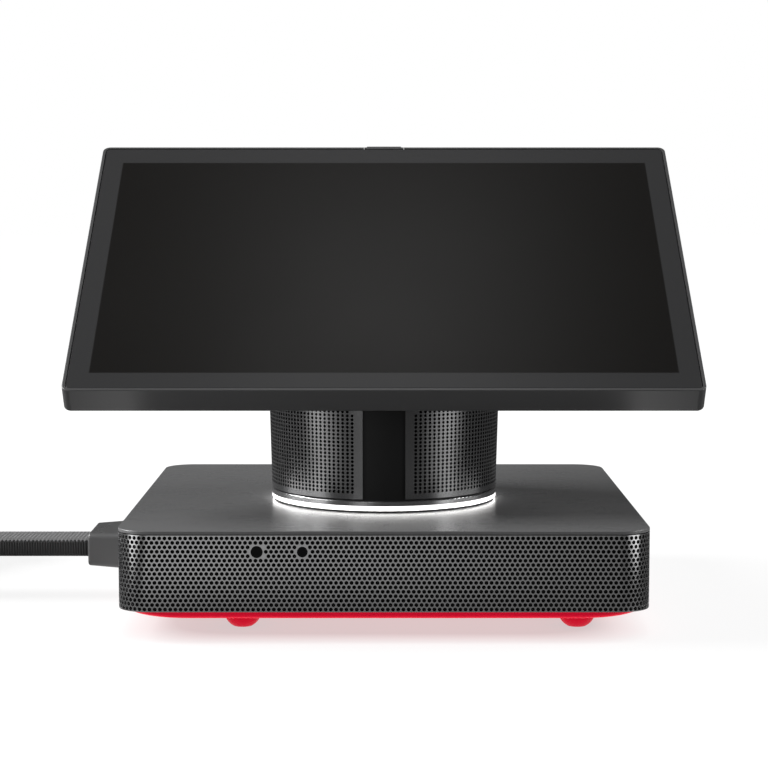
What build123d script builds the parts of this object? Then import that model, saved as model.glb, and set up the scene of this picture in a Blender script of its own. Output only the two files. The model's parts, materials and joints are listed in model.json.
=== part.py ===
from build123d import *
import math
import os

# Smart display for a meeting table: a tilted touch screen on a round speaker column that swivels on a
# square, perforated base. Millimetres. Origin on the table under the centre of the base, +Z up, front is -Y.

# ---------------------------------------------------------------- base, driving dimensions
BASE_SIDE = 190.0
BASE_CORNER = 12.0
BASE_TOP = 40.0
PLATE_THICK = 1.2
PLATE_EDGE_ROUND = 0.4
PLATE_SKIRT_DROP = 3.0
SHADOW_GAP = 0.35
BAND_BOTTOM = 11.1
BAND_WALL = 1.0
LINER_WALL = 0.5
PAN_SIDE = 187.0
PAN_CORNER = 24.0
PAN_BOTTOM = 8.5
PAN_FLOOR = 1.8
FLOOR_THICK = 2.0
POST_AT = 78.0
POST_RADIUS = 4.0
SCREW_RADIUS = 1.5
SCREW_HEAD_RADIUS = 2.8

# underside door over the cable bay, and the feet round it
DOOR_X, DOOR_Y = -74.0, -20.0
DOOR_WIDTH, DOOR_LENGTH = 24.0, 110.0
DOOR_FIT = 0.2
FOOT_RADIUS = 7.0
FOOT_TIP_RADIUS = 3.5
FEET = {
    "foot_front_left": (-52.0, -62.5),
    "foot_front_right": (71.0, -62.5),
    "foot_rear_left": (-71.0, 66.0),
    "foot_rear_right": (71.0, 66.0),
}

# sensors in the front of the band
LENS_Z = 32.6
LENSES = {"sensor_lens_wide": (-44.9, 2.2), "sensor_lens_small": (-28.8, 1.95)}
LENS_PROUD = 0.15

# rear socket panel
PANEL_X, PANEL_Z = 25.0, 24.5
PANEL_WIDTH, PANEL_HEIGHT, PANEL_THICK = 84.0, 16.0, 2.0
PANEL_FIT = 0.2
JACK_X = 40.0
JACK_BORE = 1.8
JACK_NOSE = 3.0
JACK_LENGTH = 14.0
USB_X = 22.0
USB_WIDTH, USB_HEIGHT, USB_WALL, USB_DEPTH = 9.2, 3.5, 0.35, 8.0
POWER_X = 58.0
POWER_RADIUS = 4.0
POWER_FIT = 0.15
POWER_PROUD = 1.2
LOCK_X = -6.0

# ---------------------------------------------------------------- column
COL_Y = -9.0
COL_FOOT_Z = 42.0
COL_RADIUS = 43.6
COL_TAPER = 0.0278
PANEL_BOTTOM = 45.15
SHELL_WALL = 1.2
CLOTH_WALL = 0.5
STRIP_HALF = 7.9
STRIP_RECESS = 0.6
CUT_ANGLE = 30.0
COL_FRONT_TOP = 78.6
LID_THICK = 2.0
LID_SINK = 0.8

BEARING_TOP = 40.75
RING_BOTTOM, RING_TOP = 40.95, 42.65
COLLAR_TOP = 44.65
FOOT_PLATE_BOTTOM, FOOT_PLATE_TOP, FOOT_PLATE_RADIUS = 43.3, 47.3, 41.9
SHAFT_RADIUS, SHAFT_BORE, SHAFT_BOTTOM = 16.0, 12.0, 29.0
SHAFT_FLANGE_RADIUS = 30.0
RUN_CLEARANCE = 0.05
BUSH_RADIUS, BUSH_BOTTOM = 19.0, 34.0
BUSH_FLANGE_RADIUS = 26.0

SPEAKER_Z = 70.0
SPEAKER_FLANGE = 21.0
MAGNET_RADIUS, MAGNET_DEPTH = 14.0, 8.0
BASKET_FRONT = 33.0

# ---------------------------------------------------------------- display
TILT_FROM_UPRIGHT = 54.65
SCREEN_Y, SCREEN_Z = -1.7, 132.2
SCREEN_WIDTH, SCREEN_HEIGHT = 235.5, 157.2
SCREEN_SHIFT = 0.7
SCREEN_DEPTH = 10.4
SCREEN_CORNER = 3.0
FRAME_WALL = 1.2
GLASS_FIT = 0.3
GLASS_SINK = 0.15
GLASS_THICK = 1.1
LEDGE_WIDTH, LEDGE_THICK = 5.0, 1.5
LCD_WIDTH, LCD_HEIGHT, LCD_THICK = 221.6, 142.0, 2.0
TRAY_THICK = 0.8
COVER_THICK = 1.4
COVER_FIT = 0.15
BUTTON_HALF = 8.25
BUTTON_SLOT_HALF = 8.4
BUTTON_BUMP_HALF = 7.2
BUTTON_BUMP = 0.4
BUTTON_DEPTH = 7.2

# tilt hinge
HINGE_Y, HINGE_Z = -12.0, 98.0
PIN_RADIUS = 3.0
PIN_HEAD = 1.5
LUG_HALF = 3.2
EAR_IN, EAR_OUT = 3.6, 6.2
EYE_RADIUS = 6.0
YOKE_BOTTOM = 86.0
NOTCH_HALF = 15.0

# ---------------------------------------------------------------- braided cable sleeve and its boot
SLEEVE_WIDTH, SLEEVE_THICK = 22.0, 6.6
BOOT_END_X = -115.5
SLEEVE_Z = 20.1
BOOT_HALF_END, BOOT_HALF_ROOT = 15.0, 21.0
BOOT_TALL_END, BOOT_TALL_ROOT = 12.7, 14.4
BOOT_ROUND = 2.0
TUBE_RADIUS = math.sqrt(SLEEVE_WIDTH * SLEEVE_THICK / math.pi)
COIL_Z = 12.0
COIL_X, COIL_Y = -256.0, 80.0
COIL_INNER, COIL_OUTER = 41.0, 84.0
SLEEVE_ROUTE = [
    (BOOT_END_X, 0.0, SLEEVE_Z),
    (-164.0, 0.0, SLEEVE_Z),
    (-212.0, -1.0, COIL_Z + 0.4),
    (COIL_X, 0.0, COIL_Z),
]
TIE_THICK, TIE_WIDE, TIE_SLACK = 0.9, 16.0, 1.0

os.makedirs("parts", exist_ok=True)


def keep(piece, name):
    """Label a finished piece and write it as its own STEP file."""
    piece.label = name
    export_step(piece, f"parts/{name}.step")


def column_radius(z):
    """Outside radius of the gently flared column at height z."""
    return COL_RADIUS + COL_TAPER * (z - COL_FOOT_Z)


# the slanted top of the column, and the display's own plane (its z axis points out of the glass)
lean = math.radians(CUT_ANGLE)
top_cut = Plane(
    origin=(0, COL_Y - column_radius(COL_FRONT_TOP), COL_FRONT_TOP),
    x_dir=(1, 0, 0),
    z_dir=(0, -math.sin(lean), math.cos(lean)),
)
tilt = math.radians(TILT_FROM_UPRIGHT)
screen = Plane(
    origin=(0, SCREEN_Y, SCREEN_Z), x_dir=(1, 0, 0), z_dir=(0, -math.cos(tilt), math.sin(tilt))
)
COLUMN_TALL = 100.0
COL_AXIS = (0, COL_Y)

# ================================================================ base
with BuildPart() as base_top_plate:
    with BuildSketch(Plane.XY.offset(BASE_TOP - PLATE_THICK)):
        RectangleRounded(BASE_SIDE, BASE_SIDE, BASE_CORNER)
        with Locations(COL_AXIS):
            Circle(BUSH_RADIUS, mode=Mode.SUBTRACT)
    extrude(amount=PLATE_THICK)
    fillet(base_top_plate.faces().sort_by(Axis.Z)[-1].outer_wire().edges(), PLATE_EDGE_ROUND)
    skirt_side = BASE_SIDE - 2 * (BAND_WALL + LINER_WALL + 0.6)
    with BuildSketch(Plane.XY.offset(BASE_TOP - PLATE_THICK)):
        RectangleRounded(skirt_side, skirt_side, BASE_CORNER - 2)
        RectangleRounded(skirt_side - 3, skirt_side - 3, BASE_CORNER - 3.5, mode=Mode.SUBTRACT)
    extrude(amount=-PLATE_SKIRT_DROP)
    with BuildSketch(Plane.XY.offset(BASE_TOP - PLATE_THICK)):
        with Locations(COL_AXIS):
            Circle(BUSH_RADIUS + 4)
            Circle(BUSH_RADIUS, mode=Mode.SUBTRACT)
    extrude(amount=-PLATE_SKIRT_DROP)
keep(base_top_plate.part, "base_top_plate")

band_top = BASE_TOP - PLATE_THICK - SHADOW_GAP
boot_window = (2 * BOOT_HALF_ROOT + 0.6, BOOT_TALL_ROOT + 0.6)


def wrap(side, corner, wall, low, high):
    """A square tube with rounded corners, cut out for the boot, the socket panel and the two lenses."""
    with BuildPart() as tube:
        with BuildSketch(Plane.XY.offset(low)):
            RectangleRounded(side, side, corner)
            RectangleRounded(side - 2 * wall, side - 2 * wall, corner - wall, mode=Mode.SUBTRACT)
        extrude(amount=high - low)
        with BuildSketch(Plane.YZ.offset(-side / 2 - 1)):
            with Locations((0, SLEEVE_Z)):
                Rectangle(*boot_window)
        extrude(amount=6, mode=Mode.SUBTRACT)
        with BuildSketch(Plane.XZ.offset(-side / 2 - 1)):
            with Locations((PANEL_X, PANEL_Z)):
                RectangleRounded(PANEL_WIDTH + PANEL_FIT, PANEL_HEIGHT + PANEL_FIT, 2.1)
        extrude(amount=6, mode=Mode.SUBTRACT)
        with BuildSketch(Plane.XZ.offset(side / 2 + 1)):
            for lens_x, lens_radius in LENSES.values():
                with Locations((lens_x, LENS_Z)):
                    Circle(lens_radius + 0.1)
        extrude(amount=-6, mode=Mode.SUBTRACT)
    return tube.part


keep(wrap(BASE_SIDE, BASE_CORNER, BAND_WALL, BAND_BOTTOM, band_top), "base_grille")
liner_side = BASE_SIDE - 2 * BAND_WALL - 0.1
keep(wrap(liner_side, BASE_CORNER - BAND_WALL, LINER_WALL, BAND_BOTTOM + 0.3, band_top - 0.3), "base_liner")

chassis_side = liner_side - 2 * LINER_WALL - 0.3
chassis_floor_top = BAND_BOTTOM + FLOOR_THICK
post_grid = 2 * POST_AT
BOARD_X, BOARD_Y, BOARD_Z = -16.0, 46.0, 18.0
BOARD_WIDTH, BOARD_LENGTH, BOARD_THICK = 106.0, 62.0, 1.6
BOARD_POST_INSET = 5.0
with BuildPart() as base_chassis:
    with BuildSketch(Plane.XY.offset(BAND_BOTTOM)):
        RectangleRounded(chassis_side, chassis_side, BASE_CORNER - 2)
        with Locations((DOOR_X, DOOR_Y)):
            Rectangle(DOOR_WIDTH - 4, DOOR_LENGTH - 4, mode=Mode.SUBTRACT)
    extrude(amount=FLOOR_THICK)
    with BuildSketch(Plane.XY.offset(chassis_floor_top)):
        with GridLocations(post_grid, post_grid, 2, 2):
            Circle(POST_RADIUS)
    extrude(amount=BASE_TOP - PLATE_THICK - chassis_floor_top)
    with BuildSketch(Plane.XY.offset(chassis_floor_top)):
        with Locations((BOARD_X, BOARD_Y)):
            with GridLocations(BOARD_WIDTH - 2 * BOARD_POST_INSET, BOARD_LENGTH - 2 * BOARD_POST_INSET, 2, 2):
                Circle(3)
    extrude(amount=BOARD_Z - chassis_floor_top)
    with BuildSketch(Plane.XY.offset(chassis_floor_top)):
        for rib_y in (-60.0, -35.0):
            with Locations((20, rib_y)):
                Rectangle(110, 2)
    extrude(amount=10)
    with BuildSketch(Plane.XY.offset(BAND_BOTTOM)):
        with GridLocations(post_grid, post_grid, 2, 2):
            Circle(SCREW_RADIUS)
    extrude(amount=18, mode=Mode.SUBTRACT)
keep(base_chassis.part, "base_chassis")

with BuildPart() as bottom_pan:
    with BuildSketch(Plane.XY.offset(PAN_BOTTOM)):
        RectangleRounded(PAN_SIDE, PAN_SIDE, PAN_CORNER)
    extrude(amount=BAND_BOTTOM - PAN_BOTTOM)
    fillet(bottom_pan.faces().sort_by(Axis.Z)[0].outer_wire().edges(), 1.2)
    with BuildSketch(Plane.XY.offset(PAN_BOTTOM + PAN_FLOOR)):
        RectangleRounded(PAN_SIDE - 4, PAN_SIDE - 4, PAN_CORNER - 2)
    extrude(amount=BAND_BOTTOM - PAN_BOTTOM, mode=Mode.SUBTRACT)
    with BuildSketch(Plane.XY.offset(PAN_BOTTOM)):
        with Locations((DOOR_X, DOOR_Y)):
            RectangleRounded(DOOR_WIDTH + 2 * DOOR_FIT, DOOR_LENGTH + 2 * DOOR_FIT, 3)
        with GridLocations(post_grid, post_grid, 2, 2):
            Circle(SCREW_HEAD_RADIUS + 0.2)
    extrude(amount=PAN_FLOOR, mode=Mode.SUBTRACT)
keep(bottom_pan.part, "bottom_pan")

with BuildPart() as bay_door:
    with BuildSketch(Plane.XY.offset(PAN_BOTTOM)):
        with Locations((DOOR_X, DOOR_Y)):
            RectangleRounded(DOOR_WIDTH, DOOR_LENGTH, 2.8)
            with Locations((0, DOOR_LENGTH / 2 - 8)):
                SlotOverall(12, 3, mode=Mode.SUBTRACT)
    extrude(amount=PAN_FLOOR)
keep(bay_door.part, "bay_door")

for foot_name, (foot_x, foot_y) in FEET.items():
    with BuildPart() as foot:
        with BuildSketch(Plane.XZ.offset(-foot_y)):
            with BuildLine():
                Polyline((foot_x, 0), (foot_x, PAN_BOTTOM), (foot_x + FOOT_RADIUS, PAN_BOTTOM),
                         (foot_x + FOOT_RADIUS, 5.2))
                ThreePointArc((foot_x + FOOT_RADIUS, 5.2), (foot_x + 5.9, 2.2), (foot_x + FOOT_TIP_RADIUS, 0))
                Line((foot_x + FOOT_TIP_RADIUS, 0), (foot_x, 0))
            make_face()
        revolve(axis=Axis((foot_x, foot_y, 0), (0, 0, 1)))
    keep(foot.part, foot_name)

with BuildPart() as base_screws:
    with BuildSketch(Plane.XY.offset(PAN_BOTTOM + 0.3)):
        with GridLocations(post_grid, post_grid, 2, 2):
            Circle(SCREW_HEAD_RADIUS)
            RegularPolygon(1.3, 6, mode=Mode.SUBTRACT)
    extrude(amount=1.6)
    with BuildSketch(Plane.XY.offset(PAN_BOTTOM + 1.9)):
        with GridLocations(post_grid, post_grid, 2, 2):
            Circle(SCREW_HEAD_RADIUS)
    extrude(amount=BAND_BOTTOM - PAN_BOTTOM - 1.9)
    with BuildSketch(Plane.XY.offset(BAND_BOTTOM)):
        with GridLocations(post_grid, post_grid, 2, 2):
            Circle(SCREW_RADIUS)
    extrude(amount=16)
keep(base_screws.part, "base_screws")

with BuildPart() as bearing_ring:
    with BuildSketch(Plane.XY.offset(BASE_TOP)):
        with Locations(COL_AXIS):
            Circle(COL_RADIUS - 0.7)
            Circle(BUSH_FLANGE_RADIUS + 1, mode=Mode.SUBTRACT)
    extrude(amount=BEARING_TOP - BASE_TOP)
keep(bearing_ring.part, "bearing_ring")

with BuildPart() as swivel_bushing:
    with BuildSketch(Plane.XY.offset(BUSH_BOTTOM)):
        with Locations(COL_AXIS):
            Circle(BUSH_RADIUS)
    extrude(amount=BASE_TOP - BUSH_BOTTOM)
    with BuildSketch(Plane.XY.offset(BASE_TOP)):
        with Locations(COL_AXIS):
            Circle(BUSH_FLANGE_RADIUS)
    extrude(amount=BEARING_TOP - BASE_TOP)
    with BuildSketch(Plane.XY.offset(BUSH_BOTTOM)):
        with Locations(COL_AXIS):
            Circle(SHAFT_RADIUS + RUN_CLEARANCE)
    extrude(amount=BEARING_TOP - BUSH_BOTTOM, mode=Mode.SUBTRACT)
keep(swivel_bushing.part, "swivel_bushing")

with BuildPart() as main_board:
    with BuildSketch(Plane.XY.offset(BOARD_Z)):
        with Locations((BOARD_X, BOARD_Y)):
            Rectangle(BOARD_WIDTH, BOARD_LENGTH)
    extrude(amount=BOARD_THICK)
    with BuildSketch(Plane.XY.offset(BOARD_Z + BOARD_THICK)):
        with Locations((BOARD_X - 30, BOARD_Y - 18), (BOARD_X - 36, BOARD_Y + 12), (BOARD_X + 40, BOARD_Y)):
            Rectangle(14, 14)
    extrude(amount=1.4)
    with BuildSketch(Plane.XY.offset(BOARD_Z + BOARD_THICK)):
        with Locations((BOARD_X, BOARD_Y)):
            Rectangle(24, 24)
    extrude(amount=1.6)
keep(main_board.part, "main_board")

SINK_BOTTOM = BOARD_Z + BOARD_THICK + 1.6
with BuildPart() as heat_sink:
    with BuildSketch(Plane.XY.offset(SINK_BOTTOM)):
        with Locations((BOARD_X, BOARD_Y)):
            Rectangle(44, 44)
    extrude(amount=2)
    with BuildSketch(Plane.XY.offset(SINK_BOTTOM + 2)):
        with Locations((BOARD_X, BOARD_Y)):
            with GridLocations(0, 5.25, 1, 9):
                Rectangle(44, 1.2)
    extrude(amount=10)
keep(heat_sink.part, "heat_sink")

FAN_X, FAN_Y, FAN_SIDE, FAN_TALL = 62.0, 45.0, 46.0, 12.0
FAN_WELL, FAN_SPINDLE = 21.0, 2.0
fan_floor = chassis_floor_top + 1.5
with BuildPart() as fan_housing:
    with BuildSketch(Plane.XY.offset(chassis_floor_top)):
        with Locations((FAN_X, FAN_Y)):
            RectangleRounded(FAN_SIDE, FAN_SIDE, 3)
    extrude(amount=FAN_TALL)
    with BuildSketch(Plane.XY.offset(fan_floor)):
        with Locations((FAN_X, FAN_Y)):
            Circle(FAN_WELL)
            Circle(FAN_SPINDLE, mode=Mode.SUBTRACT)
    extrude(amount=FAN_TALL, mode=Mode.SUBTRACT)
keep(fan_housing.part, "fan_housing")

with BuildPart() as fan_rotor:
    with BuildSketch(Plane.XY.offset(fan_floor + 0.6)):
        with Locations((FAN_X, FAN_Y)):
            Circle(9)
            with PolarLocations(13.5, 9):
                Rectangle(12, 1.4, rotation=32)
            Circle(FAN_SPINDLE + RUN_CLEARANCE, mode=Mode.SUBTRACT)
    extrude(amount=9)
keep(fan_rotor.part, "fan_rotor")

with BuildPart() as sensor_board:
    with BuildSketch(Plane.XZ.offset(BASE_SIDE / 2 - 4.6)):
        with Locations((-38, 30.5)):
            Rectangle(38, 10)
    extrude(amount=1.2)
keep(sensor_board.part, "sensor_board")

for lens_name, (lens_x, lens_radius) in LENSES.items():
    with BuildPart() as lens:
        with BuildSketch(Plane.XZ.offset(BASE_SIDE / 2 + LENS_PROUD)):
            with Locations((lens_x, LENS_Z)):
                Circle(lens_radius)
        extrude(amount=-3.2)
        fillet(lens.faces().sort_by(Axis.Y)[0].edges(), 0.3)
    keep(lens.part, lens_name)

MIC_AT = BASE_SIDE / 2 - 3.2
MIC_OFF_CENTRE, MIC_Z = 36.0, 24.0
with BuildPart() as mic_boards:
    for mic_turn in (0, 90, 180):
        across = math.cos(math.radians(mic_turn))
        along = math.sin(math.radians(mic_turn))
        mic_side = Plane(origin=(MIC_AT * along, -MIC_AT * across, 0), x_dir=(across, along, 0),
                         z_dir=(along, -across, 0))
        with BuildSketch(mic_side):
            with Locations((MIC_OFF_CENTRE, MIC_Z)):
                Rectangle(14, 9)
        extrude(amount=-1)
keep(mic_boards.part, "mic_boards")

# ---------------------------------------------------------------- rear sockets
panel_back = BASE_SIDE / 2 - PANEL_THICK
with BuildPart() as socket_panel:
    with BuildSketch(Plane.XZ.offset(-BASE_SIDE / 2)):
        with Locations((PANEL_X, PANEL_Z)):
            RectangleRounded(PANEL_WIDTH, PANEL_HEIGHT, 2)
        with Locations((JACK_X, PANEL_Z)):
            Circle(JACK_NOSE, mode=Mode.SUBTRACT)
        with Locations((USB_X, PANEL_Z)):
            RectangleRounded(USB_WIDTH, USB_HEIGHT, 1.7, mode=Mode.SUBTRACT)
        with Locations((POWER_X, PANEL_Z)):
            Circle(POWER_RADIUS + POWER_FIT, mode=Mode.SUBTRACT)
        with Locations((LOCK_X, PANEL_Z)):
            Rectangle(7, 3, mode=Mode.SUBTRACT)
    extrude(amount=PANEL_THICK)
keep(socket_panel.part, "socket_panel")

with BuildPart() as audio_jack:
    with BuildSketch(Plane.XZ.offset(-BASE_SIDE / 2)):
        with Locations((JACK_X, PANEL_Z)):
            Circle(JACK_NOSE)
    extrude(amount=PANEL_THICK)
    with BuildSketch(Plane.XZ.offset(-panel_back)):
        with Locations((JACK_X, PANEL_Z)):
            Rectangle(8, 7)
    extrude(amount=JACK_LENGTH)
    with BuildSketch(Plane.XZ.offset(-BASE_SIDE / 2)):
        with Locations((JACK_X, PANEL_Z)):
            Circle(JACK_BORE)
    extrude(amount=JACK_LENGTH, mode=Mode.SUBTRACT)
keep(audio_jack.part, "audio_jack")

with BuildPart() as usb_port:
    with BuildSketch(Plane.XZ.offset(-BASE_SIDE / 2)):
        with Locations((USB_X, PANEL_Z)):
            RectangleRounded(USB_WIDTH, USB_HEIGHT, 1.7)
    extrude(amount=USB_DEPTH)
    with BuildSketch(Plane.XZ.offset(-BASE_SIDE / 2)):
        with Locations((USB_X, PANEL_Z)):
            RectangleRounded(USB_WIDTH - 2 * USB_WALL, USB_HEIGHT - 2 * USB_WALL, 1.3)
            Rectangle(6.4, 0.7, mode=Mode.SUBTRACT)
    extrude(amount=USB_DEPTH - 1, mode=Mode.SUBTRACT)
keep(usb_port.part, "usb_port")

with BuildPart() as power_button:
    with BuildSketch(Plane.XZ.offset(-BASE_SIDE / 2 - POWER_PROUD)):
        with Locations((POWER_X, PANEL_Z)):
            Circle(POWER_RADIUS)
    extrude(amount=PANEL_THICK + POWER_PROUD)
    fillet(power_button.faces().sort_by(Axis.Y)[-1].edges(), 0.4)
    with BuildSketch(Plane.XZ.offset(-panel_back)):
        with Locations((POWER_X, PANEL_Z)):
            Circle(1.5)
    extrude(amount=2)
keep(power_button.part, "power_button")

with BuildPart() as power_switch:
    with BuildSketch(Plane.XZ.offset(-panel_back + 3.2)):
        with Locations((POWER_X, PANEL_Z)):
            Rectangle(6, 6)
    extrude(amount=3.5)
keep(power_switch.part, "power_switch")

# ---------------------------------------------------------------- cable boot, sleeve, coil, plug
BOOT_ROOT_X = -BASE_SIDE / 2 + 1.7
flange_low = BAND_BOTTOM + FLOOR_THICK + 0.2
flange_high = SLEEVE_Z + BOOT_TALL_ROOT / 2 + 1.5
with BuildPart() as cable_boot:
    with BuildSketch(Plane.YZ.offset(BOOT_ROOT_X)):
        with Locations((0, SLEEVE_Z)):
            RectangleRounded(2 * BOOT_HALF_ROOT, BOOT_TALL_ROOT, BOOT_ROUND)
    with BuildSketch(Plane.YZ.offset(BOOT_END_X)):
        with Locations((0, SLEEVE_Z)):
            RectangleRounded(2 * BOOT_HALF_END, BOOT_TALL_END, BOOT_ROUND)
    loft()
    fillet(cable_boot.faces().sort_by(Axis.X)[0].outer_wire().edges(), 1.0)
    with BuildSketch(Plane.YZ.offset(BOOT_END_X)):
        with Locations((0, SLEEVE_Z)):
            RectangleRounded(SLEEVE_WIDTH + 1.2, SLEEVE_THICK + 1.2, 3.2)
    extrude(amount=-2.0, mode=Mode.SUBTRACT)
    with BuildSketch(Plane.YZ.offset(BOOT_ROOT_X)):
        with Locations((0, (flange_low + flange_high) / 2)):
            RectangleRounded(2 * BOOT_HALF_ROOT + 4, flange_high - flange_low, BOOT_ROUND)
    extrude(amount=2.5)
keep(cable_boot.part, "cable_boot")


def bend_radii(points, reach=0.45):
    """One radius for each inner corner, from the shorter run beside it and how far it turns."""
    radii = []
    for before, at, after in zip(points, points[1:], points[2:]):
        run_in = Vector(*at) - Vector(*before)
        run_out = Vector(*after) - Vector(*at)
        turn = math.radians(run_in.get_angle(run_out))
        radii.append(reach * min(run_in.length, run_out.length) / math.tan(turn / 2))
    return radii


sleeve_radii = bend_radii(SLEEVE_ROUTE)
with BuildPart() as cable_sleeve:
    with BuildLine() as sleeve_line:
        FilletPolyline(*SLEEVE_ROUTE, radius=sleeve_radii)
    with BuildSketch(Plane(origin=SLEEVE_ROUTE[0], z_dir=(-1, 0, 0))):
        Circle(TUBE_RADIUS)
    sweep()
keep(cable_sleeve.part, "cable_sleeve")
sleeve_length = sleeve_line.wire().length
print("sleeve corner radii", [round(r, 1) for r in sleeve_radii])
print("sleeve length", round(sleeve_length, 1), "volume over section x length",
      round(cable_sleeve.part.volume / (math.pi * TUBE_RADIUS**2 * sleeve_length), 4))

COIL_BOTTOM = COIL_Z - SLEEVE_WIDTH / 2
with BuildPart() as cable_coil:
    with BuildSketch(Plane.XY.offset(COIL_BOTTOM)):
        with Locations((COIL_X, COIL_Y)):
            Circle(COIL_OUTER)
            Circle(COIL_INNER, mode=Mode.SUBTRACT)
    extrude(amount=SLEEVE_WIDTH)
keep(cable_coil.part, "cable_coil")

coil_middle = (COIL_INNER + COIL_OUTER) / 2
coil_wide = COIL_OUTER - COIL_INNER
with BuildPart() as coil_ties:
    for tie_side in (-1, 1):
        with BuildSketch(Plane.XZ.offset(-COIL_Y - TIE_WIDE / 2)):
            with Locations((COIL_X + tie_side * coil_middle, COIL_Z)):
                Rectangle(coil_wide + 2 * TIE_SLACK + 2 * TIE_THICK, SLEEVE_WIDTH + 2 * TIE_THICK)
                Rectangle(coil_wide + 2 * TIE_SLACK, SLEEVE_WIDTH, mode=Mode.SUBTRACT)
        extrude(amount=TIE_WIDE)
keep(coil_ties.part, "coil_ties")

PLUG_X, PLUG_Y = COIL_X + 3.0, COIL_Y + 20.0
PLUG_LONG, PLUG_THICK, PLUG_TALL = 34.0, 11.0, 23.5
with BuildPart() as cable_plug:
    with BuildSketch(Plane.XY.offset(0)):
        with Locations((PLUG_X, PLUG_Y)):
            RectangleRounded(PLUG_LONG, PLUG_THICK, 2.5)
    extrude(amount=PLUG_TALL)
    fillet(cable_plug.faces().filter_by(Axis.Z).edges(), 1.0)
keep(cable_plug.part, "cable_plug")

with BuildPart() as plug_contacts:
    with BuildSketch(Plane.YZ.offset(PLUG_X + PLUG_LONG / 2)):
        with Locations((PLUG_Y, PLUG_TALL / 2)):
            RectangleRounded(4.5, 15, 1)
            RectangleRounded(3.5, 14, 0.7, mode=Mode.SUBTRACT)
    extrude(amount=9)
keep(plug_contacts.part, "plug_contacts")

# ================================================================ column
with BuildPart() as swivel_shaft:
    with BuildSketch(Plane.XY.offset(FOOT_PLATE_BOTTOM - 2)):
        with Locations(COL_AXIS):
            Circle(SHAFT_FLANGE_RADIUS)
    extrude(amount=2)
    with BuildSketch(Plane.XY.offset(SHAFT_BOTTOM)):
        with Locations(COL_AXIS):
            Circle(SHAFT_RADIUS)
    extrude(amount=FOOT_PLATE_BOTTOM - 2 - SHAFT_BOTTOM)
    with BuildSketch(Plane.XY.offset(SHAFT_BOTTOM)):
        with Locations(COL_AXIS):
            Circle(SHAFT_BORE)
    extrude(amount=FOOT_PLATE_BOTTOM - SHAFT_BOTTOM, mode=Mode.SUBTRACT)
keep(swivel_shaft.part, "swivel_shaft")

with BuildPart() as retaining_ring:
    with BuildSketch(Plane.XY.offset(BUSH_BOTTOM - 2.2)):
        with Locations(COL_AXIS):
            Circle(BUSH_RADIUS + 1.5)
            Circle(SHAFT_RADIUS, mode=Mode.SUBTRACT)
    extrude(amount=2)
keep(retaining_ring.part, "retaining_ring")

with BuildPart() as light_ring:
    with BuildSketch(Plane.XY.offset(RING_BOTTOM)):
        with Locations(COL_AXIS):
            Circle(COL_RADIUS)
            Circle(36, mode=Mode.SUBTRACT)
    extrude(amount=RING_TOP - RING_BOTTOM)
    fillet(light_ring.faces().sort_by(Axis.Z)[0].outer_wire().edges(), 0.4)
keep(light_ring.part, "light_ring")

with BuildPart() as led_board:
    with BuildSketch(Plane.XY.offset(RING_TOP)):
        with Locations(COL_AXIS):
            Circle(41.5)
            Circle(SHAFT_FLANGE_RADIUS + 0.5, mode=Mode.SUBTRACT)
    extrude(amount=FOOT_PLATE_BOTTOM - RING_TOP)
keep(led_board.part, "led_board")

with BuildPart() as collar_ring:
    with BuildSketch(Plane.XY.offset(RING_TOP)):
        with Locations(COL_AXIS):
            Circle(COL_RADIUS + 0.05)
            Circle(FOOT_PLATE_RADIUS + 0.05, mode=Mode.SUBTRACT)
    extrude(amount=COLLAR_TOP - RING_TOP)
    fillet(collar_ring.faces().sort_by(Axis.Z)[-1].outer_wire().edges(), 0.5)
keep(collar_ring.part, "collar_ring")

with BuildPart() as column_foot:
    with BuildSketch(Plane.XY.offset(FOOT_PLATE_BOTTOM)):
        with Locations(COL_AXIS):
            Circle(FOOT_PLATE_RADIUS)
            Circle(SHAFT_BORE, mode=Mode.SUBTRACT)
    extrude(amount=FOOT_PLATE_TOP - FOOT_PLATE_BOTTOM)
keep(column_foot.part, "column_foot")

SPINE_BORE = 5.0
with BuildPart() as column_spine:
    with Locations((0, COL_Y, COLLAR_TOP)):
        Cone(
            column_radius(COLLAR_TOP) - STRIP_RECESS,
            column_radius(COLLAR_TOP + COLUMN_TALL) - STRIP_RECESS,
            COLUMN_TALL,
            align=(Align.CENTER, Align.CENTER, Align.MIN),
        )
        Box(2 * STRIP_HALF, 120, COLUMN_TALL, align=(Align.CENTER, Align.CENTER, Align.MIN),
            mode=Mode.INTERSECT)
    split(bisect_by=top_cut, keep=Keep.BOTTOM)
    with BuildSketch(Plane.XY.offset(COLLAR_TOP)):
        with Locations(COL_AXIS):
            Circle(FOOT_PLATE_RADIUS + 0.05)
    extrude(amount=FOOT_PLATE_TOP - COLLAR_TOP, mode=Mode.SUBTRACT)
    with BuildSketch(Plane.XY.offset(FOOT_PLATE_TOP)):
        with Locations(COL_AXIS):
            Circle(SPINE_BORE)
    extrude(amount=COLUMN_TALL, mode=Mode.SUBTRACT)
    with BuildSketch(Plane.XY.offset(YOKE_BOTTOM)):
        with Locations((0, HINGE_Y)):
            Rectangle(2 * STRIP_HALF + 1, 2 * NOTCH_HALF)
    extrude(amount=COLUMN_TALL, mode=Mode.SUBTRACT)
keep(column_spine.part, "column_spine")


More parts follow.
